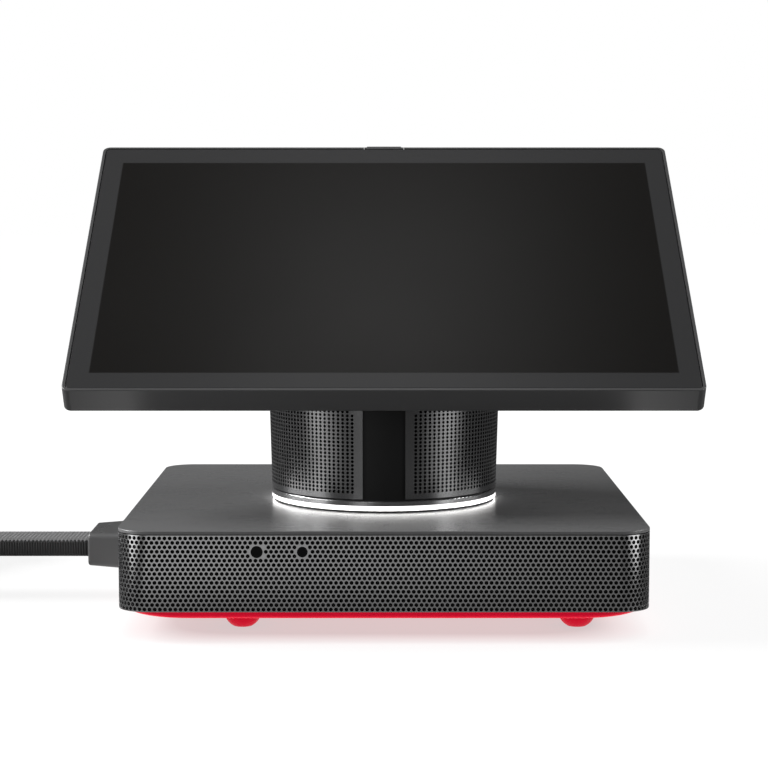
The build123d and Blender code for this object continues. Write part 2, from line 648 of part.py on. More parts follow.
def column_shell(outer_drop, wall, low, side):
    """Half of a thin flared shell between the front and rear strips; side is -1 for left, 1 for right."""
    with BuildPart() as shell:
        with Locations((0, COL_Y, low)):
            for drop, how in ((outer_drop, Mode.ADD), (outer_drop + wall, Mode.SUBTRACT)):
                Cone(column_radius(low) - drop, column_radius(low + COLUMN_TALL) - drop, COLUMN_TALL,
                     align=(Align.CENTER, Align.CENTER, Align.MIN), mode=how)
        split(bisect_by=top_cut, keep=Keep.BOTTOM)
        split(bisect_by=Plane.YZ.offset(side * (STRIP_HALF + 0.05)), keep=Keep.TOP if side > 0 else Keep.BOTTOM)
    return shell.part


for side_name, side in (("left", -1), ("right", 1)):
    keep(column_shell(0, SHELL_WALL, PANEL_BOTTOM, side), f"column_grille_{side_name}")

with BuildPart() as column_cloth:
    for side in (-1, 1):
        add(column_shell(SHELL_WALL + 0.05, CLOTH_WALL, FOOT_PLATE_TOP + 0.4, side))
keep(column_cloth.part, "column_cloth")

lid_drop = SHELL_WALL + CLOTH_WALL + 0.15
with BuildPart() as top_lids:
    with Locations((0, COL_Y, FOOT_PLATE_TOP)):
        Cone(column_radius(FOOT_PLATE_TOP) - lid_drop, column_radius(FOOT_PLATE_TOP + COLUMN_TALL) - lid_drop,
             COLUMN_TALL, align=(Align.CENTER, Align.CENTER, Align.MIN))
    split(bisect_by=top_cut.offset(-LID_SINK), keep=Keep.BOTTOM)
    split(bisect_by=top_cut.offset(-LID_SINK - LID_THICK), keep=Keep.TOP)
    with BuildSketch(Plane.XY):
        with Locations(COL_AXIS):
            Rectangle(2 * STRIP_HALF + 0.1, 120)
    extrude(amount=2 * COLUMN_TALL, mode=Mode.SUBTRACT)
keep(top_lids.part, "top_lids")

for side_name, side in (("left", -1), ("right", 1)):
    axis_plane = Plane(origin=(side * STRIP_HALF, COL_Y, SPEAKER_Z), x_dir=(0, 1, 0), z_dir=(side, 0, 0))
    reach = BASKET_FRONT - STRIP_HALF
    with BuildPart() as speaker_frame:
        with BuildSketch(axis_plane):
            Circle(MAGNET_RADIUS)
        extrude(amount=MAGNET_DEPTH)
        with BuildSketch(axis_plane.offset(MAGNET_DEPTH)):
            Circle(MAGNET_RADIUS - 2)
        with BuildSketch(axis_plane.offset(reach)):
            Circle(SPEAKER_FLANGE - 2)
        loft()
        with BuildSketch(axis_plane.offset(reach)):
            Circle(SPEAKER_FLANGE)
        extrude(amount=1.5)
        with BuildSketch(axis_plane.offset(MAGNET_DEPTH + 4)):
            Circle(6)
        with BuildSketch(axis_plane.offset(reach + 1.5)):
            Circle(SPEAKER_FLANGE - 4)
        loft(mode=Mode.SUBTRACT)
        with BuildSketch(axis_plane.offset(MAGNET_DEPTH)):
            Circle(5)
        extrude(amount=6, mode=Mode.SUBTRACT)
    keep(speaker_frame.part, f"speaker_frame_{side_name}")
    with BuildPart() as speaker_cone:
        with BuildSketch(axis_plane.offset(reach - 1)):
            Circle(SPEAKER_FLANGE - 6.6)
        with BuildSketch(axis_plane.offset(MAGNET_DEPTH + 7)):
            Circle(5.5)
        loft()
        with BuildSketch(axis_plane.offset(reach)):
            Circle(SPEAKER_FLANGE - 6.9)
        with BuildSketch(axis_plane.offset(MAGNET_DEPTH + 8.5)):
            Circle(5.2)
        loft(mode=Mode.SUBTRACT)
    keep(speaker_cone.part, f"speaker_cone_{side_name}")

# ---------------------------------------------------------------- tilt hinge
hinge_plane = Plane(origin=(0, HINGE_Y, HINGE_Z), x_dir=(0, 1, 0), z_dir=(1, 0, 0))
with BuildPart() as hinge_yoke:
    with BuildSketch(Plane.XY.offset(YOKE_BOTTOM)):
        with Locations((0, HINGE_Y)):
            Rectangle(2 * EAR_OUT, 2 * NOTCH_HALF - 2)
            with GridLocations(0, 2 * NOTCH_HALF - 8, 1, 2):
                Circle(1.6, mode=Mode.SUBTRACT)
    extrude(amount=2.5)
    for ear_start in (-EAR_OUT, EAR_IN):
        with BuildSketch(hinge_plane.offset(ear_start)):
            Circle(EYE_RADIUS)
            with Locations((0, (YOKE_BOTTOM + 2 - HINGE_Z) / 2)):
                Rectangle(2 * EYE_RADIUS, HINGE_Z - YOKE_BOTTOM - 2)
            Circle(PIN_RADIUS, mode=Mode.SUBTRACT)
        extrude(amount=EAR_OUT - EAR_IN)
keep(hinge_yoke.part, "hinge_yoke")

with BuildPart() as hinge_pin:
    with BuildSketch(hinge_plane.offset(-EAR_OUT)):
        Circle(PIN_RADIUS)
    extrude(amount=2 * EAR_OUT)
    for head_start in (-EAR_OUT - PIN_HEAD, EAR_OUT):
        with BuildSketch(hinge_plane.offset(head_start)):
            Circle(PIN_RADIUS + 1.5)
        extrude(amount=PIN_HEAD)
keep(hinge_pin.part, "hinge_pin")

with BuildPart() as friction_washers:
    for washer_start in (-EAR_IN + 0.02, LUG_HALF + 0.08):
        with BuildSketch(hinge_plane.offset(washer_start)):
            Circle(EYE_RADIUS - 0.4)
            Circle(PIN_RADIUS + 0.02, mode=Mode.SUBTRACT)
        extrude(amount=0.3)
keep(friction_washers.part, "friction_washers")

# ================================================================ display
screen_front = screen.offset(0)
screen_center = (0, SCREEN_SHIFT)
inner_width = SCREEN_WIDTH - 2 * FRAME_WALL
inner_height = SCREEN_HEIGHT - 2 * FRAME_WALL
ledge_front = -(GLASS_SINK + GLASS_THICK + 0.3)
top_edge = SCREEN_SHIFT + SCREEN_HEIGHT / 2

with BuildPart() as display_frame:
    with BuildSketch(screen_front):
        with Locations(screen_center):
            RectangleRounded(SCREEN_WIDTH, SCREEN_HEIGHT, SCREEN_CORNER)
            RectangleRounded(inner_width, inner_height, SCREEN_CORNER - FRAME_WALL, mode=Mode.SUBTRACT)
    extrude(amount=-SCREEN_DEPTH)
    fillet(display_frame.faces().filter_by(screen_front).sort_by(Axis(screen.origin, screen.z_dir))[0]
           .outer_wire().edges(), 0.9)
    fillet(display_frame.faces().filter_by(screen_front).sort_by(Axis(screen.origin, screen.z_dir))[-1]
           .outer_wire().edges(), 0.35)
    with BuildSketch(screen.offset(ledge_front)):
        with Locations(screen_center):
            RectangleRounded(inner_width + 0.2, inner_height + 0.2, SCREEN_CORNER - FRAME_WALL)
            RectangleRounded(inner_width - 2 * LEDGE_WIDTH, inner_height - 2 * LEDGE_WIDTH, 1,
                             mode=Mode.SUBTRACT)
    extrude(amount=-LEDGE_THICK)
    with BuildSketch(screen_front):
        with Locations((0, top_edge)):
            Rectangle(2 * BUTTON_SLOT_HALF, 2 * (FRAME_WALL + 0.35))
    extrude(amount=-(BUTTON_DEPTH + 0.3), mode=Mode.SUBTRACT)
keep(display_frame.part, "display_frame")

glass_width = inner_width - 2 * GLASS_FIT
glass_height = inner_height - 2 * GLASS_FIT
with BuildPart() as display_glass:
    with BuildSketch(screen.offset(-GLASS_SINK)):
        with Locations(screen_center):
            RectangleRounded(glass_width, glass_height, 1.4)
    extrude(amount=-GLASS_THICK)
    fillet(display_glass.faces().filter_by(screen_front).sort_by(Axis(screen.origin, screen.z_dir))[-1]
           .outer_wire().edges(), 0.2)
keep(display_glass.part, "display_glass")

lcd_front = -(GLASS_SINK + GLASS_THICK)
with BuildPart() as lcd_panel:
    with BuildSketch(screen.offset(lcd_front)):
        with Locations(screen_center):
            Rectangle(LCD_WIDTH, LCD_HEIGHT)
    extrude(amount=-LCD_THICK)
keep(lcd_panel.part, "lcd_panel")

tray_front = lcd_front - LCD_THICK
with BuildPart() as lcd_tray:
    with BuildSketch(screen.offset(tray_front)):
        with Locations(screen_center):
            Rectangle(LCD_WIDTH + 4, LCD_HEIGHT + 2)
    extrude(amount=-TRAY_THICK)
keep(lcd_tray.part, "lcd_tray")

with BuildPart() as display_board:
    with BuildSketch(screen.offset(tray_front - TRAY_THICK - 1.2)):
        with Locations((0, -18)):
            Rectangle(130, 34)
    extrude(amount=-1.2)
    with BuildSketch(screen.offset(tray_front - TRAY_THICK - 2.4)):
        with Locations((-35, -18), (10, -14), (44, -20)):
            Rectangle(13, 13)
    extrude(amount=-1.2)
keep(display_board.part, "display_board")

cover_front = -SCREEN_DEPTH + COVER_THICK
with BuildPart() as display_rear_cover:
    with BuildSketch(screen.offset(-SCREEN_DEPTH)):
        with Locations(screen_center):
            RectangleRounded(inner_width - 2 * COVER_FIT, inner_height - 2 * COVER_FIT, 1.6)
        with Locations((0, 52)):
            with GridLocations(5, 5, 17, 3):
                SlotOverall(3.4, 1.4, rotation=90, mode=Mode.SUBTRACT)
    extrude(amount=COVER_THICK)
keep(display_rear_cover.part, "display_rear_cover")

# the hinge lug, on the display side
hinge_local = screen.to_local_coords(Vector(0, HINGE_Y, HINGE_Z))
BRACKET_WIDTH, BRACKET_HEIGHT, BRACKET_THICK = 56.0, 44.0, 2.2
with BuildPart() as display_bracket:
    with BuildSketch(screen.offset(-SCREEN_DEPTH)):
        with Locations((0, hinge_local.Y)):
            RectangleRounded(BRACKET_WIDTH, BRACKET_HEIGHT, 4)
            with GridLocations(BRACKET_WIDTH - 10, BRACKET_HEIGHT - 10, 2, 2):
                Circle(1.6, mode=Mode.SUBTRACT)
    extrude(amount=-BRACKET_THICK)
    with BuildSketch(hinge_plane.offset(-LUG_HALF)):
        Circle(EYE_RADIUS - 0.3)
        lug_long = -SCREEN_DEPTH - BRACKET_THICK - hinge_local.Z + 1.0
        with Locations(Location((0, 0), 90 - TILT_FROM_UPRIGHT)):
            with Locations((0, lug_long / 2)):
                Rectangle(2 * EYE_RADIUS - 0.6, lug_long)
    extrude(amount=2 * LUG_HALF)
    with BuildSketch(hinge_plane.offset(-LUG_HALF)):
        Circle(PIN_RADIUS + RUN_CLEARANCE)
    extrude(amount=2 * LUG_HALF, mode=Mode.SUBTRACT)
keep(display_bracket.part, "display_bracket")

with BuildPart() as bracket_screws:
    with BuildSketch(screen.offset(-SCREEN_DEPTH - BRACKET_THICK)):
        with Locations((0, hinge_local.Y)):
            with GridLocations(BRACKET_WIDTH - 10, BRACKET_HEIGHT - 10, 2, 2):
                Circle(2.7)
    extrude(amount=-1.2)
    with BuildSketch(screen.offset(-SCREEN_DEPTH - BRACKET_THICK)):
        with Locations((0, hinge_local.Y)):
            with GridLocations(BRACKET_WIDTH - 10, BRACKET_HEIGHT - 10, 2, 2):
                Circle(1.5)
    extrude(amount=BRACKET_THICK)
keep(bracket_screws.part, "bracket_screws")

with BuildPart() as top_button:
    with BuildSketch(screen.offset(-GLASS_SINK)):
        with Locations((0, top_edge - 0.5)):
            Rectangle(2 * BUTTON_HALF, 1.0)
        with Locations((0, top_edge + BUTTON_BUMP / 2)):
            RectangleRounded(2 * BUTTON_BUMP_HALF, BUTTON_BUMP + 0.4, 0.3)
    extrude(amount=-BUTTON_DEPTH + 0.2)
    with BuildSketch(screen.offset(-4.9)):
        with Locations((0, top_edge - 2.2)):
            Rectangle(6, 2.6)
    extrude(amount=-2.0)
keep(top_button.part, "top_button")

with BuildPart() as button_switch:
    with BuildSketch(screen.offset(-4.4)):
        with Locations((0, top_edge - 5.3)):
            Rectangle(6, 2.2)
    extrude(amount=-3.2)
keep(button_switch.part, "button_switch")
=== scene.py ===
"""Looks for the table-top smart display: perforated metal, glass, light ring, braided sleeve and studio."""

import json
import math

import bmesh
import bpy
from mathutils import Matrix, Vector


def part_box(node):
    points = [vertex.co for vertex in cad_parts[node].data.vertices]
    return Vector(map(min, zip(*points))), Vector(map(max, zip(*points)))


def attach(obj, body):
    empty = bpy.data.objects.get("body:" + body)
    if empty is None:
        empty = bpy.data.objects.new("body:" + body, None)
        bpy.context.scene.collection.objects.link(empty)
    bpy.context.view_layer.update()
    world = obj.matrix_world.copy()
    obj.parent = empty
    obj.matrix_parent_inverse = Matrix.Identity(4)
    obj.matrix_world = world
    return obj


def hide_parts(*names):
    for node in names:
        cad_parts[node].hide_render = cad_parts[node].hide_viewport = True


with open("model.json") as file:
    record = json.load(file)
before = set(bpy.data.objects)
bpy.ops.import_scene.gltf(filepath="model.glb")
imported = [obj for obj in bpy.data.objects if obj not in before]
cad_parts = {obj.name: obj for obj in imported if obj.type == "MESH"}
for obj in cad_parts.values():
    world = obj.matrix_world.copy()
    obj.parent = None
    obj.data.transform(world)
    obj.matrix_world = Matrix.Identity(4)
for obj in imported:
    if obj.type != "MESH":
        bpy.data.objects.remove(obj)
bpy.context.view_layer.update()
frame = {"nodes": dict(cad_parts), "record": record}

MM = 0.001
scene = bpy.context.scene


# ------------------------------------------------------------------ camera
CAMERA_DISTANCE = 0.8399
CAMERA_HEIGHT = 0.15735
CAMERA_DIP = math.radians(5.01)
CAMERA_LENS = 100.18
CAMERA_SENSOR = 36


def place_camera():
    """A long lens, level with the screen's upper half and looking slightly down."""
    bpy.ops.object.camera_add(location=(0, -CAMERA_DISTANCE, CAMERA_HEIGHT),
                              rotation=(math.pi / 2 - CAMERA_DIP, 0, 0))
    camera = bpy.context.object
    camera.name = "studio_camera"
    camera.data.lens = CAMERA_LENS
    camera.data.sensor_width = CAMERA_SENSOR
    scene.camera = camera


place_camera()


# ------------------------------------------------------------------ small helpers
def deselect():
    bpy.ops.object.select_all(action="DESELECT")


def pick(piece):
    """Select one piece alone and make it active."""
    deselect()
    piece.select_set(True)
    bpy.context.view_layer.objects.active = piece


def modify(piece, kind, **settings):
    """Add one modifier, set it and apply it."""
    pick(piece)
    bpy.ops.object.modifier_add(type=kind)
    modifier = piece.modifiers[-1]
    for key, value in settings.items():
        setattr(modifier, key, value)
    bpy.ops.object.modifier_apply(modifier=modifier.name)


def in_edit(piece, *steps):
    """Run edit-mode steps on everything in one piece."""
    pick(piece)
    bpy.ops.object.mode_set(mode="EDIT")
    bpy.ops.mesh.select_all(action="SELECT")
    for step in steps:
        step()
    bpy.ops.object.mode_set(mode="OBJECT")


def copy_of(piece, name):
    """A second piece with its own mesh."""
    twin = piece.copy()
    twin.data = piece.data.copy()
    twin.name = name
    scene.collection.objects.link(twin)
    return twin


def joined(pieces, name):
    """Make several pieces one."""
    deselect()
    for piece in pieces:
        piece.select_set(True)
    bpy.context.view_layer.objects.active = pieces[0]
    bpy.ops.object.join()
    pieces[0].name = name
    return pieces[0]


def node_middle(name):
    """Middle of a CAD node's box."""
    low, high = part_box(name)
    return (Vector(low) + Vector(high)) / 2


# ------------------------------------------------------------------ braided sleeve on its route
SLEEVE_WIDTH = 22.0 * MM
SLEEVE_THICK = 6.6 * MM
SLEEVE_CORNER = 1.0 * MM
BOOT_MOUTH = -115.5 * MM
SLEEVE_HEIGHT = 20.1 * MM
COIL_CENTRE = Vector((-256.0, 80.0, 12.0)) * MM
COIL_START_RADIUS = 80.0 * MM
COIL_PITCH = 8.2 * MM
COIL_STEPS_PER_TURN = 20
COIL_TURNS = 3.82
RIB_PITCH = 1.0
SLEEVE_CORNER_RUN = SLEEVE_CORNER * math.pi / 2
SLEEVE_FLAT_RUN = SLEEVE_WIDTH - 2 * SLEEVE_CORNER + 1.5 * SLEEVE_CORNER_RUN
SLEEVE_HALF_GIRTH = SLEEVE_WIDTH + SLEEVE_THICK - 4 * SLEEVE_CORNER + 2 * SLEEVE_CORNER_RUN
TWIST_START = 56.0 * MM
TWIST_END = 132.0 * MM


def sleeve_route():
    """Straight out of the boot, down to the table, then round an on-edge coil to the plug in its middle."""
    points = [
        (BOOT_MOUTH, 0.0, SLEEVE_HEIGHT),
        (-146.0 * MM, 0.0, SLEEVE_HEIGHT),
        (-164.0 * MM, 0.0, SLEEVE_HEIGHT),
        (-212.0 * MM, -1.0 * MM, COIL_CENTRE.z + 0.4 * MM),
    ]
    cut_in = math.cos(math.pi / COIL_STEPS_PER_TURN)
    for step in range(int(COIL_TURNS * COIL_STEPS_PER_TURN) + 1):
        turned = step / COIL_STEPS_PER_TURN
        radius = (COIL_START_RADIUS - COIL_PITCH * turned) / cut_in
        angle = -math.pi / 2 - 2 * math.pi * turned
        points.append(tuple(COIL_CENTRE + radius * Vector((math.cos(angle), math.sin(angle), 0))))
    for x, y in ((30, -33), (0, -41), (-27, -27), (-38, -2), (-31, 16), (-16, 20), (-12, 20)):
        points.append(tuple(COIL_CENTRE + Vector((x, y, 0)) * MM))
    return points


def smooth_line(points):
    """The points of a smooth curve that is steered by the given ones."""
    curve = bpy.data.curves.new("sleeve_line", "CURVE")
    curve.dimensions = "3D"
    curve.resolution_u = 8
    spline = curve.splines.new("NURBS")
    spline.points.add(len(points) - 1)
    for control, place in zip(spline.points, points):
        control.co = (*place, 1)
    spline.order_u = 3
    spline.use_endpoint_u = True
    holder = bpy.data.objects.new("sleeve_line", curve)
    scene.collection.objects.link(holder)
    bpy.context.view_layer.update()
    line = bpy.data.meshes.new_from_object(holder)
    places = [vertex.co.copy() for vertex in line.vertices]
    bpy.data.objects.remove(holder)
    bpy.data.meshes.remove(line)
    return places


def sleeve_section():
    """Outline of the flat sleeve as (across its width, through its thickness)."""
    half_w, half_t = SLEEVE_WIDTH / 2 - SLEEVE_CORNER, SLEEVE_THICK / 2 - SLEEVE_CORNER
    outline = []
    for corner, (cx, cy) in enumerate(((1, 1), (-1, 1), (-1, -1), (1, -1))):
        for step in range(4):
            angle = math.radians(90 * corner + 30 * step)
            outline.append((cx * half_w + SLEEVE_CORNER * math.cos(angle),
                            cy * half_t + SLEEVE_CORNER * math.sin(angle)))
        if corner % 2 == 0:
            start, end = outline[-1], (-cx * half_w, cy * (half_t + SLEEVE_CORNER))
            for part in (0.2, 0.4, 0.6, 0.8):
                outline.append((start[0] + (end[0] - start[0]) * part,
                                start[1] + (end[1] - start[1]) * part))
    return outline


def make_sleeve():
    """The flat sleeve along its route. It leaves the boot flat and turns on edge before the coil."""
    places = smooth_line(sleeve_route())
    section = sleeve_section()
    mesh = bpy.data.meshes.new("braided_sleeve")
    shape = bmesh.new()
    uv = shape.loops.layers.uv.new("weave")
    rings, travelled, along = [], [], 0.0
    for index, place in enumerate(places):
        if index:
            along += (place - places[index - 1]).length
        ahead = places[min(index + 1, len(places) - 1)] - places[max(index - 1, 0)]
        ahead.normalize()
        side = ahead.cross(Vector((0, 0, 1))).normalized()
        up = side.cross(ahead)
        part = min(max((along - TWIST_START) / (TWIST_END - TWIST_START), 0), 1)
        turn = math.pi / 2 * part * part * (3 - 2 * part)
        wide = math.cos(turn) * side + math.sin(turn) * up
        thick = ahead.cross(wide)
        rings.append([shape.verts.new(place + wide * a + thick * b) for a, b in section])
        travelled.append(along)
    count = len(section)
    around = [0.0]
    for index in range(count):
        a, b = Vector(section[index]), Vector(section[(index + 1) % count])
        around.append(around[-1] + (b - a).length)
    for index in range(len(rings) - 1):
        for step in range(count):
            follow = (step + 1) % count
            here, beyond = rings[index], rings[index + 1]
            face = shape.faces.new((here[step], here[follow], beyond[follow], beyond[step]))
            face.smooth = True
            corners = ((index, step), (index, step + 1), (index + 1, step + 1), (index + 1, step))
            for loop, (i, s) in zip(face.loops, corners):
                loop[uv].uv = (travelled[i] / MM, around[s] / MM)
    shape.faces.new(rings[0])
    shape.faces.new(reversed(rings[-1]))
    bmesh.ops.recalc_face_normals(shape, faces=shape.faces)
    shape.to_mesh(mesh)
    shape.free()
    sleeve = bpy.data.objects.new("braided_sleeve", mesh)
    scene.collection.objects.link(sleeve)
    pick(sleeve)
    bpy.ops.object.shade_smooth_by_angle(angle=math.radians(40))
    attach(sleeve, "base")
    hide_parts("cable_sleeve", "cable_coil")
    return sleeve, places


sleeve, sleeve_places = make_sleeve()
[tuple(p) for p in sleeve_places]


# ------------------------------------------------------------------ perforated sheets
TILE_WELD = 0.01 * MM
ROW_WELD = 0.02 * MM


def tile_with_hole(name, sides, hole_radius, outline_point):
    """One flat tile: a ring of faces between a round hole and the tile's own outline."""
    deselect()
    bpy.ops.mesh.primitive_circle_add(vertices=sides, radius=hole_radius, location=(0, 0, 0))
    tile = bpy.context.object
    tile.name = name
    in_edit(tile, bpy.ops.mesh.extrude_edges_move)
    for vertex in list(tile.data.vertices)[sides:]:
        angle = math.atan2(vertex.co.y, vertex.co.x)
        vertex.co.x, vertex.co.y = outline_point(angle)
    return tile


def sheet_of_tiles(tile, name, across, rows, step_x, step_y, stagger):
    """Lay copies of one tile in rows, every second row shifted by stagger, and weld them."""
    modify(tile, "ARRAY", count=across, use_relative_offset=False, use_constant_offset=True,
           constant_offset_displace=(step_x, 0, 0), use_merge_vertices=True, merge_threshold=TILE_WELD)
    strips = [tile]
    for row in range(1, rows):
        strip = copy_of(tile, f"{name}_row")
        strip.data.transform(Matrix.Translation((stagger * (row % 2), step_y * row, 0)))
        strips.append(strip)
    whole = joined(strips, name)
    in_edit(whole, lambda: bpy.ops.mesh.remove_doubles(threshold=ROW_WELD))
    return whole


def thicken(piece, wall):
    """Give a flat sheet its wall, down from its face."""
    modify(piece, "SOLIDIFY", thickness=wall, offset=-1)


# --- the band round the base
base_low, base_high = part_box("base_grille")
BASE_HALF = base_high[0]
BAND_LOW, BAND_HIGH = base_low[2], base_high[2]
BASE_CORNER = 12.0 * MM
BAND_WALL = 1.0 * MM
BAND_HOLES_PER_SIDE = 101
BAND_ROWS = 17
BAND_HOLE = 0.71 * MM
BAND_HOLE_SIDES = 12
PANEL_GAP = 0.1 * MM
SAME_HEIGHT = 0.01 * MM
BASE_STRAIGHT = BASE_HALF - BASE_CORNER
side_run = 2 * BASE_STRAIGHT + BASE_CORNER * math.pi / 2
BAND_PITCH = side_run / BAND_HOLES_PER_SIDE
BAND_ROW_STEP = BAND_PITCH * math.sqrt(3) / 2


def hexagon_point(angle):
    """Outline of a hexagon that stands on one corner, at multiples of 30 degrees."""
    corner = round(math.degrees(angle) / 30) % 2 == 1
    reach = BAND_PITCH / math.sqrt(3) if corner else BAND_PITCH / 2
    return reach * math.cos(angle), reach * math.sin(angle)


def band_place(u, height, depth):
    """Where a point of the flat band lies once the band is wrapped round one side of the base."""
    if abs(u) <= BASE_STRAIGHT:
        return Vector((u, -BASE_HALF + depth, height))
    bend = (abs(u) - BASE_STRAIGHT) / BASE_CORNER
    radius = BASE_CORNER - depth
    across = math.copysign(BASE_STRAIGHT + radius * math.sin(bend), u)
    return Vector((across, -BASE_STRAIGHT - radius * math.cos(bend), height))


def hole_loops(shape):
    """Every round hole of a flat sheet as (its middle, its edges)."""
    left = {edge for edge in shape.edges if edge.is_boundary}
    while left:
        ring, front = [], [left.pop()]
        while front:
            edge = front.pop()
            ring.append(edge)
            for vertex in edge.verts:
                for other in vertex.link_edges:
                    if other in left:
                        left.remove(other)
                        front.append(other)
        if len(ring) <= BAND_HOLE_SIDES:
            middles = [(edge.verts[0].co + edge.verts[1].co) / 2 for edge in ring]
            yield sum(middles, Vector()) / len(ring), ring


def close_holes(sheet, unwanted):
    """Fill the round holes whose middle meets a test."""
    shape = bmesh.new()
    shape.from_mesh(sheet.data)
    closed = [edge for middle, ring in list(hole_loops(shape)) if unwanted(middle) for edge in ring]
    bmesh.ops.holes_fill(shape, edges=closed, sides=BAND_HOLE_SIDES)
    shape.to_mesh(sheet.data)
    shape.free()


def open_window(sheet, low, high):
    """Cut a rectangular window through a flat sheet."""
    shape = bmesh.new()
    shape.from_mesh(sheet.data)
    for axis in (0, 1):
        for limit in (low[axis], high[axis]):
            place, facing = Vector(), Vector()
            place[axis], facing[axis] = limit, 1
            everything = list(shape.verts) + list(shape.edges) + list(shape.faces)
            bmesh.ops.bisect_plane(shape, geom=everything, plane_co=place, plane_no=facing)
    inside = [face for face in shape.faces
              if all(low[axis] < face.calc_center_median()[axis] < high[axis] for axis in (0, 1))]
    bmesh.ops.delete(shape, geom=inside, context="FACES")
    shape.to_mesh(sheet.data)
    shape.free()


def square_off(sheet, first_row):
    """Pull the zigzag edges of the outer rows out to the band's straight edges."""
    last_row = BAND_ROW_STEP * (BAND_ROWS - 1)
    shoulder = BAND_PITCH / math.sqrt(3) / 2
    past_hole = BAND_HOLE + 0.05 * MM
    for vertex in sheet.data.vertices:
        above, below = vertex.co.y - last_row, -vertex.co.y
        for reach, limit in ((above, BAND_HIGH - first_row), (below, BAND_LOW - first_row)):
            on_shoulder = abs(reach - shoulder) < SAME_HEIGHT
            if reach > shoulder - SAME_HEIGHT and (reach > past_hole or on_shoulder):
                vertex.co.y = limit


def make_band():
    """One flat sheet of holes, copied and wrapped round the four sides of the base."""
    tile = tile_with_hole("band_tile", BAND_HOLE_SIDES, BAND_HOLE, hexagon_point)
    sheet = sheet_of_tiles(tile, "base_band", BAND_HOLES_PER_SIDE, BAND_ROWS, BAND_PITCH, BAND_ROW_STEP,
                           BAND_PITCH / 2)
    first_row = (BAND_LOW + BAND_HIGH) / 2 - BAND_ROW_STEP * (BAND_ROWS - 1) / 2
    square_off(sheet, first_row)
    sheet.data.transform(Matrix.Translation((BAND_PITCH / 4 - side_run / 2, first_row, 0)))
    sides = []
    for quarter, name in enumerate(("front", "right", "rear", "left")):
        side = copy_of(sheet, f"base_band_{name}")
        if name == "front":
            for lens in ("sensor_lens_wide", "sensor_lens_small"):
                low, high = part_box(lens)
                at, radius = node_middle(lens), (high[0] - low[0]) / 2
                close_holes(side, lambda middle:
                            math.hypot(middle.x - at.x, middle.y - at.z) < radius + BAND_HOLE)
        if name == "rear":
            low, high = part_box("socket_panel")
            open_window(side, (-high[0] - PANEL_GAP, low[2] - PANEL_GAP),
                        (-low[0] + PANEL_GAP, high[2] + PANEL_GAP))
        thicken(side, BAND_WALL)
        for vertex in side.data.vertices:
            vertex.co = band_place(vertex.co.x, vertex.co.y, abs(vertex.co.z))
        side.data.transform(Matrix.Rotation(math.pi / 2 * quarter, 4, "Z"))
        in_edit(side, lambda: bpy.ops.mesh.normals_make_consistent(inside=False))
        bpy.ops.object.shade_smooth_by_angle(angle=math.radians(30))
        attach(side, "base")
        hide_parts("base_grille")
        sides.append(side)
    bpy.data.objects.remove(sheet)
    return sides


band_sides = make_band()

# --- the two halves of the column's speaker grille
COL_Y = -9.0 * MM
COL_FOOT_Z = 42.0 * MM
COL_RADIUS = 43.6 * MM
COL_TAPER = 0.0278
CUT_ANGLE = math.radians(30)
CUT_SLOPE = math.tan(CUT_ANGLE)
CUT_FRONT_Z = 78.6 * MM
STRIP_HALF = 7.95 * MM
SHELL_WALL = 1.2 * MM
GRILLE_MARGIN = 3.0 * MM
GRILLE_FOOT_MARGIN = 1.93 * MM
GRILLE_TOP_MARGIN = 1.3 * MM
GRILLE_COLUMNS = 63
GRILLE_ROWS = 58
GRILLE_ROW_STEP = 1.43 * MM
GRILLE_HOLE = 0.58 * MM
GRILLE_HOLE_SIDES = 8
GRILLE_MEAN_RADIUS = 44.0 * MM
GRILLE_TOP_SPARE = 4.0 * MM
SAME_EDGE = 0.001 * MM
grille_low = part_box("column_grille_left")[0][2]
grille_run = math.pi * GRILLE_MEAN_RADIUS - 2 * STRIP_HALF - 2 * GRILLE_MARGIN
GRILLE_PITCH = grille_run / GRILLE_COLUMNS


def column_radius(height):
    """The column widens evenly towards its top."""
    return COL_RADIUS + COL_TAPER * (height - COL_FOOT_Z)


def cut_height(y):
    """Height of the column's slanted top above a point at depth y."""
    return CUT_FRONT_Z + (y - COL_Y + column_radius(CUT_FRONT_Z)) * CUT_SLOPE


def column_place(part, height, depth, side):
    """A point on the column: part runs from 0 at the front strip to 1 at the rear strip."""
    radius = column_radius(height)
    edge = math.asin(STRIP_HALF / radius)
    angle = edge + part * (math.pi - 2 * edge)
    reach = radius - depth
    return Vector((side * reach * math.sin(angle), COL_Y - reach * math.cos(angle), height))


def square_point(angle):
    """Outline of a rectangle, at its corners and the middles of its sides."""
    step = round(math.degrees(angle) / 45) % 8
    across = (1, 1, 0, -1, -1, -1, 0, 1)[step]
    along = (0, 1, 1, 1, 0, -1, -1, -1)[step]
    return across * GRILLE_PITCH / 2, along * GRILLE_ROW_STEP / 2


def add_margins(sheet, width, height):
    """Plain borders: new faces pulled out from the four sides of the field of holes."""
    shape = bmesh.new()
    shape.from_mesh(sheet.data)
    for axis, limit, reach in ((0, 0, -GRILLE_MARGIN), (0, width, GRILLE_MARGIN),
                               (1, 0, -GRILLE_FOOT_MARGIN), (1, height, GRILLE_TOP_SPARE)):
        rim = [edge for edge in shape.edges
               if edge.is_boundary and all(abs(vertex.co[axis] - limit) < SAME_EDGE for vertex in edge.verts)]
        pulled = bmesh.ops.extrude_edge_only(shape, edges=rim)["geom"]
        for vertex in (v for v in pulled if isinstance(v, bmesh.types.BMVert)):
            vertex.co[axis] += reach
    shape.to_mesh(sheet.data)
    shape.free()


def breaks_top_border(middle, run):
    """True for a hole that would break the plain border along the slanted top."""
    place = column_place(middle.x / run, grille_low + middle.y, 0, 1)
    return place.z > cut_height(place.y) - GRILLE_TOP_MARGIN - GRILLE_HOLE


